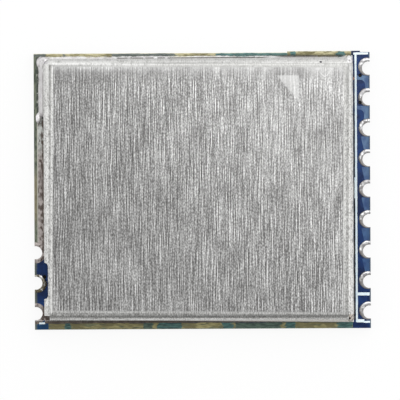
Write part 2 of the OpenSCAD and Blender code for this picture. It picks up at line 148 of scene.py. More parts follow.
# %% Wrap a socket
def shade(colour):
    """Linear colour from three values of 0 to 255. Anything else stays as it is."""
    if not isinstance(colour, tuple) or len(colour) > 3:
        return colour
    parts = [value / 255 for value in colour]
    linear = [v / 12.92 if v <= 0.04045 else ((v + 0.055) / 1.055) ** 2.4 for v in parts]
    return (*linear, 1.0)


class Wire:
    """A socket of a node tree. Arithmetic on it adds Math nodes."""

    def __init__(self, tree, socket=None):
        self.tree = tree
        self.socket = socket

    def node(self, kind, sockets=None, output=0, **settings):
        """Adds a node with these inputs and settings, and wraps one of its outputs."""
        made = self.tree.nodes.new("ShaderNode" + kind)
        for name, value in settings.items():
            setattr(made, name, value)
        for name, value in (sockets or {}).items():
            if isinstance(value, Wire):
                self.tree.links.new(value.socket, made.inputs[name])
            else:
                made.inputs[name].default_value = value
        return Wire(self.tree, made.outputs[output] if len(made.outputs) else None)

    def math(self, operation, *values):
        return self.node("Math", dict(enumerate(values)), operation=operation)

    def __add__(self, other):
        return self.math("ADD", self, other)

    def __sub__(self, other):
        return self.math("SUBTRACT", self, other)

    def __rsub__(self, other):
        return self.math("SUBTRACT", other, self)

    def __mul__(self, other):
        return self.math("MULTIPLY", self, other)

    def __abs__(self):
        return self.math("ABSOLUTE", self)

    def larger(self, other):
        return self.math("MAXIMUM", self, other)

    def smaller(self, other):
        return self.math("MINIMUM", self, other)

    def rise(self, low, high):
        """0 below low and 1 above high, with a smooth slope."""
        limits = {"Value": self, "From Min": low, "From Max": high}
        return self.node("MapRange", limits, interpolation_type="SMOOTHSTEP")

    def fall(self, low, high):
        """1 below low and 0 above high."""
        return 1 - self.rise(low, high)

    def band(self, low, high, soft):
        """1 between low and high, with soft ends."""
        return self.rise(low - soft, low + soft) * self.fall(high - soft, high + soft)

    def mix(self, first, second):
        """The first colour where this is 0 and the second where it is 1."""
        colours = {0: self, 6: shade(first), 7: shade(second)}
        return self.node("Mix", colours, 2, data_type="RGBA")


print("socket wrapper ready")

# %% [markdown]
# ## Starting and closing a finish
# Each finish reads Object coordinates. They are metres here, so they are multiplied by a thousand
# and every size in a finish is then a millimetre.

# %% Start and close a finish
def grey(value):
    """The slightly warm grey of tinplate."""
    return (value, value, value - 2)


def start_finish(name):
    """A new material, and its Object coordinates in millimetres."""
    material = bpy.data.materials.new(name)
    material.use_nodes = True
    tree = material.node_tree
    tree.nodes.clear()
    place = Wire(tree).node("TexCoord", output="Object")
    scaled = place.node("VectorMath", {0: place, "Scale": 1 / MM}, operation="SCALE")
    return material, scaled


def axes(place):
    return [place.node("SeparateXYZ", {0: place}, k) for k in range(3)]


def noise(place, cell, detail=0, shift=(0, 0, 0)):
    """Smooth noise with cells of one size, or of three for X, Y and Z."""
    sides = cell if isinstance(cell, tuple) else (cell,) * 3
    scale = [1 / side for side in sides]
    mapped = place.node("Mapping", {"Vector": place, "Scale": scale, "Location": shift})
    return place.node("TexNoise", {"Vector": mapped, "Scale": 1.0, "Detail": detail})


def on_wall(place):
    """1 on upright faces, and 0 on those that look up or down."""
    normal = place.node("NewGeometry", output="Normal")
    return abs(axes(normal)[2]).fall(0.4, 0.6)


def left_half(x):
    """1 on the left half of the board, and 0 on the right."""
    return x.fall(-1.0, 1.0)


def bump(height, depth):
    """A normal for a height of 0 to 1 that stands for depth millimetres."""
    return height.node("Bump", {"Height": height, "Distance": depth * MM})


def close_finish(material, colour, rough, relief, **others):
    """Ends a finish in one Principled shader."""
    sockets = {"Base Color": colour, "Roughness": rough, "Normal": relief, **others}
    tree = Wire(material.node_tree)
    tree.node("OutputMaterial", {"Surface": tree.node("BsdfPrincipled", sockets)})
    return material


def dress(name, material):
    nodes[name].data.materials.clear()
    nodes[name].data.materials.append(material)


print("finish helpers ready")

# %% [markdown]
# ## Light and floor
# A module like this is pictured in a bright tent: white behind and beside it, darker overhead, where
# the camera looks in, and dimmer still in front, where the tent is open. The opening gives the front
# bend of the can and the lower half of every contact their grey. One soft lamp makes the lid brighter
# at the back right.

# %% Light the tent
front_level = 0.44
wall_gain = 0.86
overhead_level = 0.74
lamp_place = Vector((17, 28, 64))
lamp_aim = Vector((7, 6, 0))
lamp_side = 50
lamp_watts = 0.0112


def tent_world():
    world = bpy.data.worlds.new("tent")
    world.use_nodes = True
    tree = world.node_tree
    tree.nodes.clear()
    direction = Wire(tree).node("TexCoord", output="Generated")
    _, y, z = axes(direction)
    wall_level = y.rise(-0.8, 0.0) * wall_gain + front_level
    overhead = z.rise(0.72, 0.95)
    level = wall_level * (1 - overhead) + overhead * overhead_level
    light = direction.node("Background", {"Color": (1, 1, 1, 1), "Strength": level})
    direction.node("OutputWorld", {"Surface": light})
    return world


scene.world = tent_world()
area = bpy.data.lights.new("back_right_lamp", "AREA")
area.size = lamp_side * MM
area.energy = lamp_watts
lamp = bpy.data.objects.new("back_right_lamp", area)
lamp.location = lamp_place * MM
lamp.rotation_euler = (lamp_aim - lamp_place).to_track_quat("-Z", "Y").to_euler()
lamp.visible_camera = False
scene.collection.objects.link(lamp)
print("tent and lamp ready")

# %% [markdown]
# The floor is a white card. Where the camera or a mirror sees it, it is mostly plain white; the rest
# is white paint that takes the module's soft shadow.

# %% Lay the floor
floor_side = 40.0
floor_drop = 0.02
glow_share = 0.9


def white_card():
    material, place = start_finish("white_card")
    speck = noise(place, 40)
    paint = place.node("BsdfDiffuse", {"Color": speck.mix((244, 244, 244), (250, 250, 250))})
    glow = place.node("Emission", {"Color": (1, 1, 1, 1), "Strength": 1.0})
    seen = [place.node("LightPath", output=f"Is {ray} Ray") for ray in ("Camera", "Glossy", "Transmission")]
    share = seen[0].larger(seen[1]).larger(seen[2]) * glow_share
    card = place.node("MixShader", {0: share, 1: paint, 2: glow})
    place.node("OutputMaterial", {"Surface": card})
    return material


bpy.ops.mesh.primitive_plane_add(size=floor_side, location=(0, 0, -floor_drop * MM))
floor = bpy.context.object
floor.name = "floor"
floor.data.materials.append(white_card())
print("floor of", floor_side, "m")

# %% [markdown]
# ## Modelling in millimetres
# Blender's tools have tolerances that suit metre-sized things, so each small piece is modelled with
# one unit for a millimetre, and shrunk a thousandfold about the origin at the end.

# %% Helpers for hand modelling
doubles_apart = 0.0005
slack = 0.01


def select_all():
    bpy.ops.mesh.select_all(action="SELECT")


def face_outwards():
    select_all()
    bpy.ops.mesh.normals_make_consistent(inside=False)


def weld():
    """Merges doubled points of the open mesh and turns its faces outwards."""
    select_all()
    bpy.ops.mesh.remove_doubles(threshold=doubles_apart)
    face_outwards()


def close_edit():
    bpy.ops.object.mode_set(mode="OBJECT")


def move(step):
    bpy.ops.transform.translate(value=step)


def resize(factors, about=(0, 0, 0)):
    bpy.ops.transform.resize(value=factors, center_override=about)


def start(kind, at=(0, 0, 0), stretch=(1, 1, 1), **settings):
    """Adds a primitive, opens it for editing, stretches it and moves it into place."""
    getattr(bpy.ops.mesh, f"primitive_{kind}_add")(location=(0, 0, 0), **settings)
    bpy.ops.object.mode_set(mode="EDIT")
    select_all()
    resize(stretch)
    move(at)
    return bpy.context.object


def pick(kind, test):
    """Selects the VERT, EDGE or FACE items whose middle, and themselves, pass the test."""
    bpy.ops.mesh.select_mode(type=kind)
    bpy.ops.mesh.select_all(action="DESELECT")
    mesh = bpy.context.edit_object.data
    net = bmesh.from_edit_mesh(mesh)
    for item in getattr(net, kind.lower() + "s"):
        points = [item.co] if kind == "VERT" else [v.co for v in item.verts]
        if test(sum(points, Vector()) / len(points), item):
            item.select_set(True)
    net.select_flush_mode()
    bmesh.update_edit_mesh(mesh)


def slice_at(point, normal, **drop):
    """Cuts the open mesh along a plane. Where a side is dropped, the cut is closed."""
    select_all()
    bpy.ops.mesh.bisect(plane_co=point, plane_no=normal, use_fill=bool(drop), **drop)


def modify(piece, kind, **settings):
    made = piece.modifiers.new(kind.lower(), kind)
    for name, value in settings.items():
        setattr(made, name, value)
    bpy.context.view_layer.objects.active = piece
    bpy.ops.object.modifier_apply(modifier=made.name)


def settle(piece, name, materials, stands_for=(), smooth_deg=40):
    """Shrinks a finished piece to metres, names it and seats it on the part."""
    bpy.ops.object.select_all(action="DESELECT")
    piece.select_set(True)
    bpy.context.view_layer.objects.active = piece
    bpy.ops.object.shade_smooth_by_angle(angle=math.radians(smooth_deg))
    piece.scale = (MM, MM, MM)
    bpy.ops.object.transform_apply()
    piece.name = name
    piece.data.name = name
    for material in materials:
        piece.data.materials.append(material)
    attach(piece, "root")
    if stands_for:
        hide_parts(*stands_for)
    print(name, "has", len(piece.data.polygons), "faces")
    return piece


print("modelling helpers ready")

# %% [markdown]
# ## The brushed tinplate
# The lid was brushed along its short side into fine streaks, about a tenth of a millimetre wide and a
# millimetre long. The bends were rolled later, and their light is painted into their colour: a painted
# highlight where each starts, a groove painted as shade, and a second painted highlight further out,
# each side painted to the grey that its light gives it, with a painted shadow at the front skirt's foot.
# They are scuffed and specked, and the left groove holds a broken dark line. Streaks and lines lie half
# a degree askew. Each streak is a noise of its own, and each line comes from its distance to a face of
# the can.

# %% Draw marks on a finish
def lay_painted_bands(colour, distance, within, marks):
    """Lays painted highlight and shade bands over a colour, by distance."""
    for near, far, value in marks:
        band = distance.band(near, far, 0.03) * within
        colour = band.mix(colour, grey(value))
    return colour


def strokes(x, y, width, length, shift):
    """Straight strokes along Y, about 0: each one's own noise, less its neighbour's."""
    scaled = x * (1 / width)
    column = scaled.math("FLOOR", scaled) * 5.0 + (shift + 0.5)
    pair = []
    for neighbour in (0.0, 5.0):
        where = x.node("CombineXYZ", {0: column + neighbour, 1: y * (1 / length), 2: 0.5})
        pair.append(x.node("TexNoise", {"Vector": where, "Scale": 1.0, "Detail": 0.0}))
    return pair[0] - pair[1]


def spot(x, y, middle, half):
    """1 inside an ellipse with a soft rim."""
    across = (x - middle[0]) * (1 / half[0])
    along = (y - middle[1]) * (1 / half[1])
    return (across * across + along * along).fall(0.6, 1.4)


print("marks ready")

# %% [markdown]
# A few marks of wear are placed one by one near the back right corner: a pale triangle that a thumb
# rubbed, a pale V, a scratch and a dark fleck of flux on the bend.

# %% Brush the tinplate
press_turn_deg = 0.47
front_slant = 0.003
# Nearest and furthest distance from a face of the can, and the grey of a painted highlight or shade band.
left_bend_light = [(0.40, 0.54, 178), (0.63, 0.73, 255)]
right_bend_light = [(0.02, 0.18, 226), (0.28, 0.35, 236), (0.43, 0.65, 170)]
# The first front band is a painted shadow at the skirt's foot; the others are painted highlights and shade.
front_bend_light_and_shadow = [(-0.30, -0.02, 72), (0.0, 0.17, 202), (0.20, 0.42, 160), (0.43, 0.57, 168), (0.60, 0.74, 204)]
# The back bend's painted highlights: softness too, a grey for the left end and a darker one, under the lamp,
# for the right.
back_bend_highlights = [(0.38, 0.66, 0.04, 214, 160), (0.49, 0.61, 0.03, 238, 180), (0.66, 1.40, 0.04, 200, 170)]


def painted_bend_light(left, right, front, back):
    """Painted highlights and shade of the four bends, each side painted to its own grey, from the distances
    to the four faces.
    """
    along_y = front.rise(0.4, 0.5) * back.rise(0.6, 0.7)
    along_x = left.rise(0.5, 0.6) * right.rise(0.4, 0.5)
    # Each bend is painted to the grey that its light gives it, the left one lighter.
    colour = left.rise(0.8, 1.2).mix(grey(214), grey(204))
    for near, far, soft, left_grey, right_grey in back_bend_highlights:
        line = left.rise(4.0, 13.0).mix(grey(left_grey), grey(right_grey))
        colour = (back.band(near, far, soft) * along_x).mix(colour, line)
    # A painted highlight on the right bend, darker towards the back, where the lamp lights it more.
    right_bend_highlight = front.rise(7.0, 20.0).mix(grey(208), grey(172))
    colour = (right.band(0.66, 0.80, 0.03) * along_y).mix(colour, right_bend_highlight)
    colour = lay_painted_bands(colour, front, along_x, front_bend_light_and_shadow)
    colour = lay_painted_bands(colour, left, along_y, left_bend_light)
    return lay_painted_bands(colour, right, along_y, right_bend_light)


def rubbed_marks(x, y):
    """Pale marks of wear on the lid, 0 to 1."""
    slant = x * 1.7 + y * 1.4
    triangle = slant.rise(23.7, 24.2) * x.fall(7.94, 8.02) * y.fall(9.56, 9.68)
    fork = y - abs(x - 10.15) * 0.8
    vee = fork.band(9.47, 9.55, 0.03) * x.band(9.75, 10.55, 0.05)
    scratch = spot(x, y, (6.05, 5.41), (0.2, 0.05))
    return (triangle * 0.85).larger(vee).larger(scratch)


def brushed_colour(place, x, y, left, back, grain):
    """Colour of the flat lid, calmer at the back right, with a painted sheen along the back."""
    short = strokes(x, y, 0.066, 1.4, 0)
    long = strokes(x, y, 0.079, 3.2, 3)
    blotch = noise(place, (0.6, 1.8, 1.8), detail=1, shift=(6.1, 0.7, 0))
    patches = noise(place, (2.4, 4.0, 4.0), detail=1, shift=(1.7, 4.2, 0))
    calm = x.rise(-2.0, 8.0) * (y.rise(-10.0, 10.0) * 0.38 - 0.12)
    fresh = (back.rise(0.8, 2.2) * 0.6 + 0.4) * (1 - calm)
    streak = (short * 0.88 + long * 0.38 + (grain - 0.5) * 0.85) * fresh
    streak = streak + (blotch - 0.5) * 0.41 + (patches - 0.5) * 0.21
    rubbed = rubbed_marks(x, y)
    streak = streak * (1 - rubbed * 0.75) + rubbed * 0.2
    # Painted sheen along the back edge of the lid, fainter at the right, where the lamp lights it.
    painted_back_sheen = back.fall(0.7, 1.35) * (0.24 - left.rise(4.0, 13.0) * 0.16)
    brushed = (streak + painted_back_sheen + 0.525).larger(0.0).smaller(1.2)
    return (brushed * brushed).mix((98, 97, 96), (240, 240, 239))


def worn_bends(place, rolled, left, back, grain, scuffs):
    """Scuffs, specks and the broken dark line, laid over the bends' painted highlights and shade."""
    bend = (scuffs + 0.3).rise(0.1, 1.0).mix(rolled, (140, 139, 136))
    speckle = back.rise(1.0, 5.0) * 0.75 + 0.3
    bend = (grain.rise(0.5, 0.8) * speckle * 0.5).mix(bend, (92, 91, 89))
    bend = (grain.fall(0.2, 0.5) * speckle * 0.4).mix(bend, grey(238))
    dashes = noise(place, (0.3, 0.6, 0.6), shift=(2.4, 5.5, 0)).rise(0.52, 0.66)
    return (left.band(0.40, 0.50, 0.03) * dashes * 0.45).mix(bend, (108, 106, 102))


def tinplate_finish():
    """Brushed on the flat of the lid, rolled on the bends, whose highlights and shade are painted."""
    material, square = start_finish("brushed_tinplate")
    turn = (0.0, 0.0, math.radians(press_turn_deg))
    place = square.node("Mapping", {"Vector": square, "Rotation": turn})
    x, y, _ = axes(place)
    left = x - can_low.x
    right = can_high.x - x
    front = y + x * front_slant - can_low.y
    back = can_high.y - y
    flat = left.rise(0.72, 0.84) * right.rise(0.76, 0.92) * front.rise(0.68, 0.82) * back.rise(0.68, 0.84)
    fine = noise(place, (0.06, 1.4, 1.4))
    grain = noise(place, (0.07, 0.16, 0.16), shift=(3.1, 8.7, 0))
    worn = noise(place, 0.5, detail=2)
    lid = brushed_colour(place, x, y, left, back, grain)
    scuffs = (worn - 0.5) * 0.8 + (grain - 0.5) * 0.5 + (fine - 0.5) * 0.4
    bend = worn_bends(place, painted_bend_light(left, right, front, back), left, back, grain, scuffs)
    fleck = spot(x, y, (9.81, 10.74), (0.11, 0.07))
    colour = fleck.mix(flat.mix(bend, lid), (52, 48, 58))
    rough = flat * (fine - 0.5) * 0.16 + 0.35
    relief = bump(flat * fine * 0.6 + (1 - flat) * worn * 0.5, 0.004)
    return close_finish(material, colour, rough, relief, Metallic=1.0)


tinplate = tinplate_finish()
print("tinplate ready")

# %% [markdown]
# ## The shield can
# The can is one sheet with four sides folded down, so a box without a floor is bevelled round its
# lid, opened at the corner reliefs and the raised right skirt, and thickened inwards. A rounded punch
# makes the antenna cut, and the cut edges are rounded last.

# %% Helpers for plates and cuts
def flat_plate(x0, y0, x1, y1, z):
    """Flat plate between two corners in plan, open for editing."""
    return start("plane", ((x0 + x1) / 2, (y0 + y1) / 2, z), (x1 - x0, y1 - y0, 1), size=1.0)


def rounded_plate(x0, y0, x1, y1, z, corner_r):
    """The same with round corners."""
    plate = flat_plate(x0, y0, x1, y1, z)
    select_all()
    bpy.ops.mesh.bevel(offset=corner_r, segments=6, affect="VERTICES")
    return plate


def thicken(height):
    """Pulls the open flat mesh up by height and closes the edit."""
    select_all()
    bpy.ops.mesh.extrude_region_move(TRANSFORM_OT_translate={"value": (0, 0, height)})
    face_outwards()
    close_edit()


def cut_with(piece, tool):
    """Takes the tool's form out of the piece and removes the tool."""
    modify(piece, "BOOLEAN", object=tool, operation="DIFFERENCE", solver="EXACT")
    bpy.data.objects.remove(tool)


print("plates and cuts ready")

# %% Fold the shield can
can_mid = (can_low + can_high) / 2
corner_relief = 0.45
trace_gap_h = 0.3
trace_gap_foot = 1.2
foot = corner_relief + trace_gap_foot
notch_y = contact_y[antenna_contact - 1] + 0.2
notch_w = 3.0
notch_reach = 0.33
notch_r = 0.3
punch_over = 0.5
cut_edge_r = 0.03


def cut_away(middle, face):
    """True in the four corner reliefs and above the leaving traces."""
    side_x = can_size.x / 2 - abs(middle.x - can_mid.x)
    side_y = can_size.y / 2 - abs(middle.y - can_mid.y)
    corner = side_x < corner_relief and side_y < corner_relief
    inside_feet = can_low.y + foot < middle.y < can_high.y - foot
    traces = middle.x > can_high.x - slack and middle.z < top + trace_gap_h and inside_feet
    return corner or traces


can = start("cube", can_mid, can_size, size=1.0)
pick("FACE", lambda middle, face: face.normal.z < -0.5)
bpy.ops.mesh.delete(type="FACE")
pick("EDGE", lambda middle, edge: middle.z > can_high.z - slack)
bpy.ops.mesh.bevel(offset=bend_r, segments=10, profile=0.5)
for x in (can_low.x + corner_relief, can_high.x - corner_relief):
    slice_at((x, 0, 0), (1, 0, 0))
for y in (can_low.y + corner_relief, can_high.y - corner_relief, can_low.y + foot, can_high.y - foot):
    slice_at((0, y, 0), (0, 1, 0))
slice_at((0, 0, top + trace_gap_h), (0, 0, 1))
pick("FACE", cut_away)
bpy.ops.mesh.delete(type="FACE")
weld()
close_edit()
modify(can, "SOLIDIFY", thickness=sheet_t, offset=-1.0, use_even_offset=True)
punch = rounded_plate(can_low.x - notch_reach, notch_y - notch_w / 2,
                      can_low.x + notch_reach, notch_y + notch_w / 2,
                      top - punch_over, notch_r)
thicken(can_size.z + 2 * punch_over)
cut_with(can, punch)
modify(can, "BEVEL", width=cut_edge_r, segments=2, limit_method="ANGLE", angle_limit=math.radians(50))
settle(can, "folded_can", [tinplate], ["shield_can"], 30)

# %% [markdown]
# ## The board's finish
# Blue solder mask covers most of the board, painted nearly black as shade in the gap beside the can.
# Along the cut edges it ends early and the grey green laminate shows, with a pale rim at the back. The
# walls show the glass layers edge on, and the vias are painted black as shade.

# %% Colour the board
mask_ior = 1.32


def glass_layers(place):
    """Colour of the laminate seen edge on."""
    layers = noise(place, (1.2, 1.2, 0.09), detail=1)
    return layers.rise(0.3, 0.7).mix((96, 100, 86), (150, 148, 118))


def masked_colour(x, y, upper, cloud):
    """Blue mask, teal at the front left, with painted shadow beside the can and one copper fleck."""
    wander = cloud.rise(0.3, 0.7)
    uneven = (wander - 0.5) * (upper * 0.75 + 0.25) + 0.5
    blue = uneven.mix((0, 28, 72), (12, 53, 110))
    teal_corner = x.fall(-13.0, -12.6) * y.fall(-10.9, -10.6) * upper
    tinted = teal_corner.mix(blue, wander.mix((8, 52, 88), (24, 78, 116)))
    # Painted shadow in the gap beside the can, half as dark towards the back.
    painted_gap_shadow = x.band(can_high.x - 0.1, can_high.x + 0.14, 0.04) * y.rise(can_low.y - 0.1, can_low.y) * upper
    painted_gap_shadow = painted_gap_shadow * (1 - y.rise(4.0, 8.0) * 0.5)
    shaded = painted_gap_shadow.mix(tinted, (6, 12, 16))
    copper = spot(x, y, (12.69, 9.30), (0.05, 0.13)) * upper
    return copper.mix(shaded, (178, 122, 78))


def bare_colour(y, fibre):
    """Bare laminate, straw in the middle of the left edge and pale at the back."""
    bare = fibre.rise(0.3, 0.7).mix((66, 76, 66), (124, 130, 112))
    bare = (y.band(-2.4, 1.4, 0.8) * 0.5).mix(bare, (160, 146, 116))
    return y.rise(board_back - 0.06, board_back - 0.03).mix(bare, (232, 228, 206))


def without_mask(x, y):
    """1 along the back and the front, and along the left edge behind the contacts."""
    left_strip = x.fall(land_low.x - 0.03, land_low.x + 0.03) * y.rise(-6.0, -5.9)
    back = y.rise(land_high.y - 0.02, land_high.y) * x.fall(12.4, 12.5)
    front = y.fall(land_low.y - 0.05, land_low.y) * x.band(-12.86, 12.45, 0.03)
    return back.larger(front).larger(left_strip)


def mask_finish():
    """Mask on the faces, laminate along the edges, glass layers on the walls, vias painted black as shade."""
    material, place = start_finish("blue_solder_mask")
    x, y, z = axes(place)
    upper = z.rise(0.4 * top, 0.6 * top)
    cloud = noise(place, 0.9, detail=2)
    fibre = noise(place, (0.2, 0.7, 0.2), detail=2)
    ragged = (noise(place, (0.3, 0.2, 0.3)) - 0.5) * 0.05
    left_rim = (x + ragged * 2).fall(board_low.x + 0.05, board_low.x + 0.28)
    rim = left_rim.larger((x + ragged).rise(board_high.x - 0.12, board_high.x - 0.07))
    rim_grey = left_half(x).mix((66, 84, 104), (100, 108, 96))
    edged = rim.mix(masked_colour(x, y, upper, cloud), rim_grey)
    faced = (without_mask(x, y) * upper).mix(edged, bare_colour(y, fibre))
    wall = on_wall(place)
    colour = wall.mix(faced, glass_layers(place))
    # The vias are painted nearly black above their plugs, as shade.
    above_plug = z.rise(0.2 * via_plug, 0.6 * via_plug)
    for number in via_sites:
        via = spot(x, y, via_place(number), (via_d / 2, via_d / 2))
        colour = (via * above_plug).mix(colour, (8, 9, 12))
    rough = wall * 0.35 + cloud * 0.12 + 0.22
    relief = bump(fibre * 0.3 + cloud * 0.4, 0.012)
    return close_finish(material, colour, rough, relief, IOR=mask_ior)


solder_mask = mask_finish()
dress("circuit_board", solder_mask)
print("board coloured")

# %% [markdown]
# ## Tin and solder
# These are all tin alloys, but they differ. Hot tin on the contacts is bright and lumpy, with painted
# shade on the front half of each bead, and the land under the can is dull and stained by burnt flux.
# Fresh solder is nearly white with faint mauve clouds, with a painted sheen along most of the back and
# painted duller elsewhere. Dashes of burnt flux and painted shadow lie in the seam behind the can, and
# painted shade darkens gaps, a crevice, a pinhole and a crack.

# %% Mix the tin finishes
pinhole_at = (can_high.x - 0.39, can_low.y + 0.11)
bead_end = can_high.y - 5.05


def flat_length(across, along):
    square = across * across + along * along
    return square.math("SQRT", square)


def hole_darkening(x, y):
    """Painted shade on the front half of every bead, and darker close to the hole's rim."""
    along = y * (1 / pitch)
    behind = (along - along.math("ROUND", along)) * pitch
    inset = abs(x) - (board_high.x - hole_inset)
    rim = flat_length(inset, behind).fall(hole_r + 0.05, hole_r + 0.16)
    return rim * 0.3 + behind.fall(-0.5, 0.5)


def flux_and_painted_shade(x, y, place):
    """1 where the solder is darkened: burnt flux, a dark corner arc, and painted shade in gaps, a pinhole and
    a crack.
    """
    gaps = noise(place, (0.7, 50, 50)) + x.rise(-4.0, 0.0) * 0.2
    # Burnt flux and painted shadow in the seam behind the can.
    seam_flux_and_shadow = y.band(can_high.y - 0.05, can_high.y + 0.09, 0.02) * gaps.rise(0.40, 0.50) * x.band(-8.0, 5.4, 0.5)
    # Painted shade in the gap at the back right, along the solder's outer edge.
    behind = y.rise(land_high.y - 0.18, land_high.y - 0.10) * x.band(6.4, 11.9, 0.4) * 0.75
    # Painted shadow in the crevice between the left bead and the can.
    beside = x.band(can_low.x - 0.10, can_low.x + 0.02, 0.03) * y.fall(9.6, 10.2) * left_half(x) * 0.45
    # A dark arc in the back left corner.
    ring = flat_length(x + 12.5, y - 10.2).band(0.74, 0.80, 0.03)
    corner = ring * x.fall(-12.6, -12.3) * y.rise(10.1, 10.3)
    # Painted shade in the pinhole, and in a crack running from it.
    pinhole_shade = spot(x, y, pinhole_at, (0.11, 0.11))
    crack = (y - x * 0.73).band(-19.57, -19.50, 0.02) * x.band(12.26, 12.44, 0.03)
    return beside.larger(seam_flux_and_shadow).larger(behind).larger(corner * 0.55).larger(pinhole_shade).larger(crack * 0.7)


def tin_finish(name, bright, dull, stain_and_shade_colour, stained, cell, base_rough, hole_darkening_share=0.0, painted_dimming=0.0):
    """Stained metal, painted duller except under a painted sheen: most of the back, the back right and the
    left bead's tip.
    """
    material, place = start_finish(name)
    x, y, _ = axes(place)
    cloud = noise(place, cell, detail=3)
    spots = noise(place, (cell * 0.6, cell * 1.4, cell), detail=3, shift=(4.4, 2.2, 9.1))
    metal = cloud.rise(0.35, 0.65).mix(bright, dull)
    # Painted sheen on the solder, with a glint at the left bead's tip; elsewhere it is painted duller.
    sheen_along_back = x.rise(-12.9, -12.4) * x.fall(4.5, 7.0)
    bead_tip_glint = spot(x, y, (land_low.x + 0.12, bead_end + 0.05), (0.25, 0.36))
    painted_sheen = sheen_along_back.larger(x.rise(11.3, 11.8)).larger(bead_tip_glint)
    metal = ((1 - painted_sheen) * painted_dimming).mix(metal, (184, 182, 182))
    # Flux spots and, on the contacts, painted shade on the beads' front halves and darkening near the holes.
    stains_and_shade = spots + hole_darkening(x, y) * hole_darkening_share
    stain_and_shade = stains_and_shade.rise(1.0 - stained - 0.08, 1.0 - stained + 0.08)
    # Flux and painted shade take one dark colour.
    colour = flux_and_painted_shade(x, y, place).mix(stain_and_shade.mix(metal, stain_and_shade_colour), (74, 68, 62))
    rough = cloud * 0.2 + stain_and_shade * 0.25 + base_rough
    relief = bump(cloud * 0.6 + spots * 0.4, 0.02)
    return close_finish(material, colour, rough, relief, Metallic=1 - stain_and_shade * 0.7)


contact_tin = tin_finish("hot_tin", (224, 224, 224), (156, 154, 156), (138, 135, 133),
                         stained=0.38, cell=0.28, base_rough=0.12, hole_darkening_share=0.3)
antenna_tin = tin_finish("antenna_tin", (250, 250, 250), (176, 170, 154), (98, 90, 68),
                         stained=0.36, cell=0.30, base_rough=0.15, hole_darkening_share=0.24)
fresh_solder = tin_finish("fresh_solder", (246, 246, 246), (222, 218, 220), (184, 180, 190),
                          stained=0.34, cell=0.5, base_rough=0.16, painted_dimming=0.7)
burnt_solder = tin_finish("burnt_solder", (222, 214, 206), (196, 188, 178), (150, 140, 130),
                          stained=0.36, cell=0.25, base_rough=0.35)
print("tin finishes ready")

# %% [markdown]
# The land is a narrow frame round the can. On the left a highlight is painted along its outer edge,
# burnt flux and painted shade lie against the can, and beside the thick bead it is dark green grey with
# pale specks. In front it is painted dark as shade, with a painted shadow against the can, and towards
# the right a painted highlight marks the skirt's foot.

# %% Stain the land
def front_shade_and_highlight(x, y, front, wander):
    """The land in front, painted darker as shade, with a painted shadow at the skirt's foot and a painted
    highlight there towards the right.
    """
    # Painted shade: the land in front is darker than elsewhere.
    shaded_brown = wander.mix((116, 104, 94), (88, 78, 70))
    from_foot = y + ((x + 5.2) * 0.0115).larger(0.0) - can_low.y
    # Painted shadow close to the skirt's foot.
    painted_foot_shadow = front * from_foot.rise(-0.10, -0.03)
    strip = painted_foot_shadow.mix(shaded_brown, (54, 50, 48))
    # Painted highlight at the skirt's foot, showing towards the right.
    return from_foot.rise(-0.03, 0.02).mix(strip, (250, 247, 242))


def land_finish():
    """Dull tin with flux, a painted highlight on the left edge, green beside the bead, painted shade in
    front.
    """
    material, place = start_finish("stained_frame")
    x, y, _ = axes(place)
    cloud = noise(place, 0.35, detail=3)
    spots = noise(place, (0.21, 0.5, 0.35), detail=3, shift=(4.4, 2.2, 9.1))
    fine = noise(place, 0.12, shift=(8.8, 1.1, 0))
    wander = cloud.rise(0.35, 0.65)
    metal = wander.mix((186, 178, 174), (142, 134, 131))
    metal = y.rise(2.6, 4.2).mix(metal, wander.mix((204, 206, 202), (166, 168, 164)))
    # More flux and painted shade against the can on the left.
    flux_and_shade_by_can = x.rise(can_low.x - 0.25, can_low.x - 0.08) * left_half(x)
    flux = (spots + flux_and_shade_by_can * 0.16).rise(0.50, 0.66)
    stained = flux.mix(metal, (92, 80, 74))
    # Painted highlight along the land's left edge.
    painted_edge_highlight = x.fall(land_low.x + 0.04, land_low.x + 0.09) * y.rise(-4.3, -4.1)
    edged = painted_edge_highlight.mix(stained, (196, 196, 184))
    green = fine.rise(0.56, 0.80).mix((80, 86, 78), (190, 192, 184))
    beside_bead = y.rise(bead_end - 0.1, bead_end + 0.3) * left_half(x)
    greened = beside_bead.mix(edged, green)
    front = y.fall(can_low.y - 0.02, can_low.y + 0.06)
    # In front the land takes painted shade, a painted shadow and a painted highlight.
    colour = (front * 0.9).mix(greened, front_shade_and_highlight(x, y, front, wander))
    dull = flux.larger(beside_bead).larger(front)
    relief = bump(cloud * 0.6 + spots * 0.4, 0.02)
    rough = cloud * 0.2 + dull * 0.25 + 0.3
    return close_finish(material, colour, rough, relief, Metallic=1 - dull * 0.7)


land_tin = land_finish()
dress("ground_land", land_tin)
print("land stained")

# %% [markdown]
# ## The edge contacts
# Each contact is a plated half hole with a bead of hot tin round its upper rim, wide behind the hole
# and narrow in front of it. A section is spun all the way round and cut off at the board's edge, as
# the saw does on the real panel. The mask covers what the bead leaves of the ring.

# %% Spin the contacts
plating_t = 0.06
mask_step = 0.02
crown_r = 0.755
crown_h = 0.10
crown_shift = Vector((-0.125, 0.125, 0))
crown_seat = 0.01
crown_steps = 9
full_crown_w = 0.3
lump_h = 0.06
bare_reach = 0.72
flush_slack = 0.002
spin_steps = 64


def spin(section):
    """A closed ring, spun from a section of radius and height pairs."""
    ring = start("circle", vertices=len(section), radius=1.0, fill_type="NOTHING")
    net = bmesh.from_edit_mesh(ring.data)
    for vert, (radius, height) in zip(net.verts, section):
        vert.co = (radius, 0.0, height)
    bmesh.update_edit_mesh(ring.data)
    select_all()
    bpy.ops.mesh.spin(steps=spin_steps, angle=2 * math.pi, center=(0, 0, 0), axis=(0, 0, 1))
    weld()
    return ring


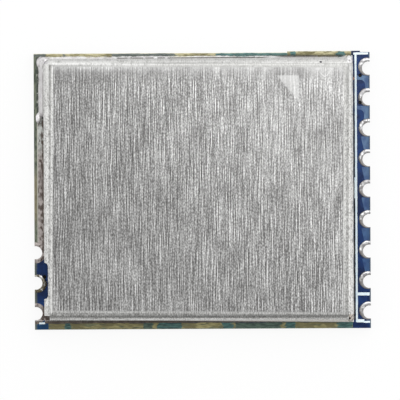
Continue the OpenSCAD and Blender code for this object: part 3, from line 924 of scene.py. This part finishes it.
def barrel_section():
    """Plated barrel with a flat ring on each face of the board."""
    inner = hole_r + plating_t
    return [(hole_r, top), (pad_r, top), (pad_r, top - plating_t), (inner, top - plating_t),
            (inner, mask_step + plating_t), (pad_r, mask_step + plating_t), (pad_r, mask_step),
            (hole_r, mask_step)]


def crown_section():
    """Rounded bead of tin that rises from the hole's rim and ends at the mask."""
    middle = (hole_r + crown_r) / 2
    half = (crown_r - hole_r) / 2
    turns = [math.pi * k / crown_steps for k in range(crown_steps + 1)]
    return [(middle - half * math.cos(t), math.sin(t) ** 0.8) for t in turns]


def clouds(name, cell):
    texture = bpy.data.textures.new(name, "CLOUDS")
    texture.noise_scale = cell
    texture.noise_depth = 1
    return texture


def ripple(piece, texture, height, mid_level=0.5, **settings):
    modify(piece, "DISPLACE", texture=texture, strength=height, mid_level=mid_level,
           texture_coords="LOCAL", **settings)


def join(pieces):
    bpy.ops.object.select_all(action="DESELECT")
    for piece in pieces:
        piece.select_set(True)
    bpy.context.view_layer.objects.active = pieces[0]
    bpy.ops.object.join()
    return pieces[0]


def saw_off(side):
    """Cuts the open mesh at the board's edge, closes the cut and ends the edit."""
    slice_at((side * board_high.x, 0, 0), (side, 0, 0), clear_outer=True)
    face_outwards()
    close_edit()


tin_lumps = clouds("tin_lumps", 0.32)


def pour_crown(centre, side, shift, rise):
    """The bead of one contact, wide and high where shift points to."""
    crown = spin(crown_section())
    close_edit()
    for vert in crown.data.vertices:
        ray = vert.co.xy.normalized().to_3d()
        share = (vert.co.xy.length - hole_r) / (crown_r - hole_r)
        width = (ray * (crown_r - hole_r) + shift).length
        height = top - crown_seat + rise * min(1.0, width / full_crown_w) * vert.co.z
        at = centre + ray * vert.co.xy.length + shift * share
        vert.co = (at.x, at.y, height)
    ripple(crown, tin_lumps, lump_h, 0.45)
    bpy.ops.object.mode_set(mode="EDIT")
    saw_off(side)
    return crown


def via_drill(number):
    """Drill for the via beside one contact, which stays plugged below."""
    at = via_place(number) + Vector((0, 0, top + via_plug / 2))
    drill = start("cylinder", at, vertices=24, radius=via_d / 2, depth=2 * top - via_plug)
    close_edit()
    return drill


def make_contact(number):
    """One contact at its place, with the ring outside its bead masked over."""
    side, centre = contact_centre(number)
    crown = pour_crown(centre, side, *crown_forms.get(number, (crown_shift, crown_h)))
    barrel = spin(barrel_section())
    move(centre)
    saw_off(side)
    if number in via_sites:
        for piece in (crown, barrel):
            cut_with(piece, via_drill(number))
    name = contact_names[number - 1]
    finish = [contact_finish.get(number, contact_tin), solder_mask]
    contact = settle(join([crown, barrel]), f"tinned_{name}", finish, [name], 60)
    for face in contact.data.polygons:
        flush = abs(face.center.z - top * MM) < flush_slack * MM and face.normal.z > 0.9
        masked = number not in ground_contacts or face.center.y < (centre.y - bare_reach) * MM
        face.material_index = 1 if flush and masked else 0
    return contact


contact_finish = {number: land_tin for number in ground_contacts}
contact_finish[antenna_contact] = antenna_tin
crown_forms = {number: (Vector((0.06, 0.05, 0)), 0.04) for number in ground_contacts}
crown_forms[antenna_contact] = (Vector((0.17, -0.04, 0)), 0.10)
contacts = [make_contact(number) for number in range(1, contact_count + 1)]
print("contacts made:", len(contacts))

# %% [markdown]
# ## Copper under the mask
# Near the board's edge the mask runs over copper, and there it is a lighter, steelier blue. Its edge
# catches the light, so each tab between two contacts gets a thin plate with rounded corners. On the
# two tabs beside vias the copper runs on round the corner to the via.

# %% Lay the masked copper
copper_t = 0.025
copper_seat = 0.01
copper_inset = 0.1
copper_right = board_high.x - copper_inset
copper_w = 0.42
copper_lean = 0.2
copper_mask_ior = 1.4
inner_corner_r = 0.4
arm_left = 12.93
# Beside the vias, by tab: where the upright arm starts, and the width of the arm to the via.
via_arms = {6: (13.52, 0.30), 7: (13.62, 0.36)}


def copper_finish():
    """Steely blue, deeper in front and darker along the right edge."""
    material, place = start_finish("mask_on_copper")
    x, y, _ = axes(place)
    cloud = noise(place, (0.5, 0.8, 0.5), detail=2)
    wander = cloud.rise(0.3, 0.7)
    light = wander.mix((54, 84, 131), (96, 126, 160))
    deep = wander.mix((32, 62, 112), (54, 90, 136))
    blue = y.rise(-6.0, 5.0).mix(deep, light)
    blue = (x.rise(board_high.x - 0.5, board_high.x - 0.1) * 0.45).mix(blue, (40, 66, 100))
    return close_finish(material, blue, cloud * 0.1 + 0.2, bump(cloud, 0.006), IOR=copper_mask_ior)


def copper_corner(front, back, upright_left, arm_w):
    """Flat L whose arms meet at the back right, with a round inner corner."""
    arm_front = back - arm_w
    plate = flat_plate(arm_left, front, copper_right, back, top - copper_seat)
    slice_at((upright_left, 0, 0), (1, 0, 0))
    slice_at((0, arm_front, 0), (0, 1, 0))
    pick("FACE", lambda middle, face: middle.x < upright_left and middle.y < arm_front)
    bpy.ops.mesh.delete(type="FACE")
    pick("VERT", lambda middle, vert: abs(middle.x - upright_left) + abs(middle.y - arm_front) < 0.001)
    bpy.ops.mesh.bevel(offset=inner_corner_r, segments=8, affect="VERTICES")
    thicken(copper_t)
    return plate


def copper_tab(k):
    """Copper of the tab behind contact number k + 1."""
    front = contact_y[k] + hole_r + 0.3
    back = contact_y[k + 1] - hole_r - 0.06
    if k in via_arms:
        return copper_corner(front, back, *via_arms[k])
    left = copper_right - copper_w + 0.03 * math.sin(2.1 * k)
    plate = rounded_plate(left, front, copper_right, back, top - copper_seat, 0.08)
    mid_x = copper_right - copper_w / 2
    mid_y = (front + back) / 2
    pick("VERT", lambda middle, vert: middle.x < mid_x and middle.y > mid_y)
    move((-copper_lean, 0, 0))
    thicken(copper_t)
    return plate


masked_copper = join([copper_tab(k) for k in range(1, 8)])
for number in (8, 9):
    cut_with(masked_copper, via_drill(number))
settle(masked_copper, "masked_copper", [copper_finish()])

# %% [markdown]
# ## The printed lines
# A pale ink frame is printed beside the long contact row: a line along the can and short bars, with
# one dash at the front left corner. Ink is laid through a screen, so its edges waver: each strip is
# divided along its length, shaken sideways and pulled up to the thickness of the ink.

# %% Print the lines
ink_t = 0.024
ink_lift = 0.002
ink_z = top - 0.005
ink_step = 0.12
ink_waver = 0.016
line_x = 12.83
line_half = 0.082
ink_lines = [
    (line_x - line_half, -11.0, line_x + line_half, 11.315),
    (line_x - line_half - 0.06, -0.68, line_x, 1.07),
    (12.66, 11.30, 13.87, 11.47),
    (line_x, -8.78, 13.90, -8.53),
    (line_x, -11.02, 13.45, -10.76),
    (13.40, -11.06, 13.93, -10.90),
    (-13.64, -11.04, -13.16, -10.89),
]


def ink_finish():
    material, place = start_finish("pale_ink")
    cloud = noise(place, 0.3, detail=2)
    pale = cloud.rise(0.25, 0.6).mix((222, 242, 255), (238, 251, 255))
    return close_finish(material, pale, 0.55, bump(cloud, 0.008))


def ink_strip(x0, y0, x1, y1, seed):
    """One printed strip with wavering edges, a little thicker than the one before it."""
    strip = flat_plate(x0, y0, x1, y1, ink_z)
    along_y = (y1 - y0) > (x1 - x0)
    length = max(x1 - x0, y1 - y0)

    def runs_along(middle, edge):
        step = edge.verts[1].co - edge.verts[0].co
        return abs(step.y if along_y else step.x) > length / 2

    pick("EDGE", runs_along)
    bpy.ops.mesh.subdivide(number_cuts=int(length / ink_step))
    select_all()
    bpy.ops.transform.vertex_random(offset=ink_waver, seed=seed, wait_for_input=False)
    resize((1, 1, 0), (0, 0, ink_z))
    thicken(ink_t + ink_lift * seed)
    return strip


strips = [ink_strip(*corners, seed) for seed, corners in enumerate(ink_lines)]
settle(join(strips), "printed_lines", [ink_finish()])

# %% [markdown]
# ## The snapped edges
# The back and front edges were snapped from a panel, so the woven glass shows: straw yellow, with
# olive, teal and dark stretches where resin still clings, and, at the back, painted shade towards the can.
# Each edge is a strip divided along its length, and smooth noise pushes it in and out.

# %% Colour the snapped laminate
stretch_soft = 0.08


def in_stretches(x, stretches):
    """1 where x lies in one of the stretches."""
    total = x.band(*stretches[0], stretch_soft)
    for stretch in stretches[1:]:
        total = total.larger(x.band(*stretch, stretch_soft))
    return total


def laminate_finish(name, straw_pair, green_pair, resin_pair, teal, dark, clinging_share):
    """Woven glass with teal and dark stretches along X, resin clinging in patches, and painted shade by the
    can.
    """
    material, place = start_finish(name)
    x, y, _ = axes(place)
    fibre = noise(place, (0.5, 0.09, 0.09), detail=2)
    weave = fibre.rise(0.3, 0.7)
    straw, green, resin = [weave.mix(*pair) for pair in (straw_pair, green_pair, resin_pair)]
    patch = noise(place, (1.1, 0.4, 0.4), detail=2, shift=(5, 0, 0))
    olive = patch.rise(0.42, 0.58).mix(straw, (118, 112, 74))
    drift = x + (noise(place, (0.35, 0.2, 0.2)) - 0.5) * 0.5
    tinted = in_stretches(drift, teal).mix(olive, green)
    clinging = noise(place, (0.9, 0.25, 0.25), detail=1, shift=(2, 7, 0)).rise(0.56, 0.66)
    in_resin = in_stretches(drift, dark).larger(clinging * clinging_share)
    top_colour = in_resin.mix(tinted, resin)
    # Painted shade on the back strip, darker towards the can.
    shaded = y.fall(land_high.y + 0.04, land_high.y + 0.18) * y.rise(0.0, 1.0) * 0.4
    top_colour = shaded.mix(top_colour, (58, 62, 48))
    colour = on_wall(place).mix(top_colour, glass_layers(place))
    return close_finish(material, colour, fibre * 0.2 + 0.45, bump(fibre, 0.02))


back_glass = laminate_finish(
    "back_laminate",
    straw_pair=((148, 140, 98), (206, 200, 160)),
    green_pair=((44, 86, 86), (90, 132, 128)),
    resin_pair=((66, 76, 74), (116, 124, 118)),
    teal=[(-3.27, -2.86), (1.2, 7.15), (7.4, 7.8), (11.2, 12.0)],
    dark=[(-14.2, -13.0), (-11.6, -11.27), (-7.5, -2.2)],
    clinging_share=0.0,
)
front_glass = laminate_finish(
    "front_laminate",
    straw_pair=((120, 114, 70), (172, 164, 114)),
    green_pair=((34, 74, 74), (78, 120, 114)),
    resin_pair=((46, 66, 60), (88, 112, 96)),
    teal=[(-11.5, -11.0), (-3.8, -1.8), (1.6, 2.5), (6.9, 7.7), (11.2, 12.5)],
    dark=[(-5.0, -4.2), (2.7, 6.5)],
    clinging_share=0.5,
)
print("laminates ready")

# %% Snap the edges
strip_low = 0.04
strip_top = top + 0.012
strip_cuts = ((0, 220), (2, 6), (1, 2))
snap_inset = 0.035
stub_left = 7.15


def snapped_strip(name, x0, x1, y_in, y_out):
    """Strip along an edge, from y_in to the snapped face at y_out."""
    middle = ((x0 + x1) / 2, (y_in + y_out) / 2, (strip_low + strip_top) / 2)
    strip = start("cube", middle, (x1 - x0, abs(y_out - y_in), strip_top - strip_low), size=1.0)
    for axis, cuts in strip_cuts:
        pick("EDGE", lambda middle, edge: abs((edge.verts[1].co - edge.verts[0].co)[axis]) > 1e-4)
        bpy.ops.mesh.subdivide(number_cuts=cuts)
    face_outwards()
    close_edit()
    for kind, cell, depth in (("snap_", 0.7, 0.06), ("fibre_", 0.16, 0.05)):
        ripple(strip, clouds(kind + name, cell), depth, direction="Y")
    return strip


back_run = snapped_strip("back_run", -13.97, stub_left, land_high.y + 0.03, board_back - snap_inset)
stub_run = snapped_strip("stub_run", stub_left, 12.45, land_high.y + 0.03, board_high.y - snap_inset)
front_run = snapped_strip("front_run", -12.86, 12.5, land_low.y - 0.01, board_low.y + snap_inset)
settle(join([back_run, stub_run]), "snapped_back_edge", [back_glass])
settle(front_run, "snapped_front_edge", [front_glass])

# %% [markdown]
# ## The solder
# Solder creeps up a wall and thins out along the land, so the long beads are boxes whose outer edge
# is bevelled with a hollow profile. The corners are flattened balls. All of it is joined, melted
# together by a voxel remesh, smoothed, and left a little uneven by noise.

# %% Run the solder
hollow_reach = 0.82
hollow_profile = 0.28
taper_ends = (0.35, 1, 0.2)
fillet_low = top - 0.03
solder_low = top - 0.02
solder_high = top + 0.7
fill_step = 0.005
fill_lap = 0.06
melt_cell = 0.035
pinhole_r = 0.085


def fillet(low, high, outer_axis, taper=0.0):
    """Box with a hollowed outer upper edge; its front end may taper."""
    size = high - low
    piece = start("cube", size=1.0)
    outward = 1 if outer_axis == 1 else -1
    pick("EDGE", lambda middle, edge: middle[outer_axis] * outward > 0.4 and middle.z > 0.4)
    bpy.ops.mesh.bevel(offset=hollow_reach, segments=8, profile=hollow_profile)
    select_all()
    resize(size)
    move((low + high) / 2)
    if taper:
        slice_at((0, low.y + taper, 0), (0, 1, 0))
        pick("VERT", lambda middle, vert: middle.y < low.y + slack)
        resize(taper_ends, (high.x, low.y, top))
    close_edit()
    return piece


def drop(x, y, z, rx, ry, rz):
    """Flattened ball of solder, cut off at the land."""
    piece = start("uv_sphere", (x, y, z), (rx, ry, rz), segments=24, ring_count=14, radius=1.0)
    slice_at((0, 0, solder_low), (0, 0, -1), clear_outer=True)
    close_edit()
    return piece


def corner_fill(side_x, side_y):
    """Solder that closes one corner relief, as round as the bends."""
    face = Vector((can_high.x if side_x > 0 else can_low.x, can_high.y if side_y > 0 else can_low.y, 0))
    inward = Vector((-side_x, -side_y, 0))
    middle = face + inward * bend_r
    middle.z = can_high.z - bend_r
    piece = start("uv_sphere", middle, segments=32, ring_count=20, radius=bend_r - fill_step)
    pick("VERT", lambda point, vert: point.z < middle.z - slack)
    resize((1, 1, 0), (0, 0, solder_low))
    wall = face + inward * (corner_relief + fill_lap)
    for normal in ((side_x, 0, 0), (0, side_y, 0)):
        slice_at(wall, normal, clear_inner=True)
    face_outwards()
    close_edit()
    return piece


solder = join([
    fillet(Vector((can_low.x + 0.4, can_high.y - 0.12, fillet_low)),
           Vector((can_high.x - 0.4, land_high.y + 0.05, solder_high)), 1),
    fillet(Vector((land_low.x + 0.1, bead_end, fillet_low)),
           Vector((can_low.x + 0.12, can_high.y - 0.2, solder_high)), 0, 0.6),
    corner_fill(-1, 1),
    corner_fill(1, 1),
    corner_fill(1, -1),
    drop(-13.42, 10.74, top, 0.38, 0.56, 0.42),
    drop(-13.12, 10.94, top, 0.62, 0.36, 0.55),
    drop(12.28, 10.86, top + 0.8, 0.32, 0.37, 1.08),
    drop(12.32, -10.60, top, 0.30, 0.35, 1.2),
    drop(land_low.x + 0.12, bead_end + 0.14, top + 0.02, 0.23, 0.48, 0.24),
])
modify(solder, "REMESH", mode="VOXEL", voxel_size=melt_cell)
modify(solder, "SMOOTH", factor=0.6, iterations=10)
ripple(solder, clouds("solder_waves", 0.6), 0.07, 0.55)
pinhole = start("cylinder", (*pinhole_at, can_high.z - 0.5), vertices=16, radius=pinhole_r)
close_edit()
cut_with(solder, pinhole)
settle(solder, "soldered_seams", [fresh_solder, burnt_solder], ["shield_solder"], 70)
for face in solder.data.polygons:
    face.material_index = 1 if face.center.y < 0 else 0

# %% [markdown]
# ## Finishes of the parts under the can
# Nothing of these shows while the can is on, but the part is whole without it, so each gets a plain
# true finish.

# %% Finish the hidden parts
speck_cell = 0.08
speck_dark = 0.75


def speckled(name, colour, rough, metal):
    """A plain finish with fine darker specks."""
    material, place = start_finish(name)
    grain = noise(place, speck_cell, detail=2)
    dark = [channel * speck_dark for channel in colour]
    base = grain.rise(0.3, 0.7).mix((*dark, 1.0), (*colour, 1.0))
    return close_finish(material, base, grain * 0.15 + rough, bump(grain, 0.004), Metallic=metal)


metal_classes = ("chrome", "brass", "brushed_steel")
covered = {"solder_mask", "tinned_contact", "tinned_land", "tinplate", "solder"}
finishes = {}
for row in frame["record"]["materials"]:
    metal = 1.0 if row["class"] in metal_classes else 0.0
    rough = 0.25 if metal else 0.5
    if row["slot"] not in covered:
        finishes[row["slot"]] = speckled(row["slot"], row["base_color"], rough, metal)
for row in frame["record"]["subparts"]:
    if row["material_slot"] in finishes:
        dress(row["node"], finishes[row["material_slot"]])
print("hidden finishes:", sorted(finishes))
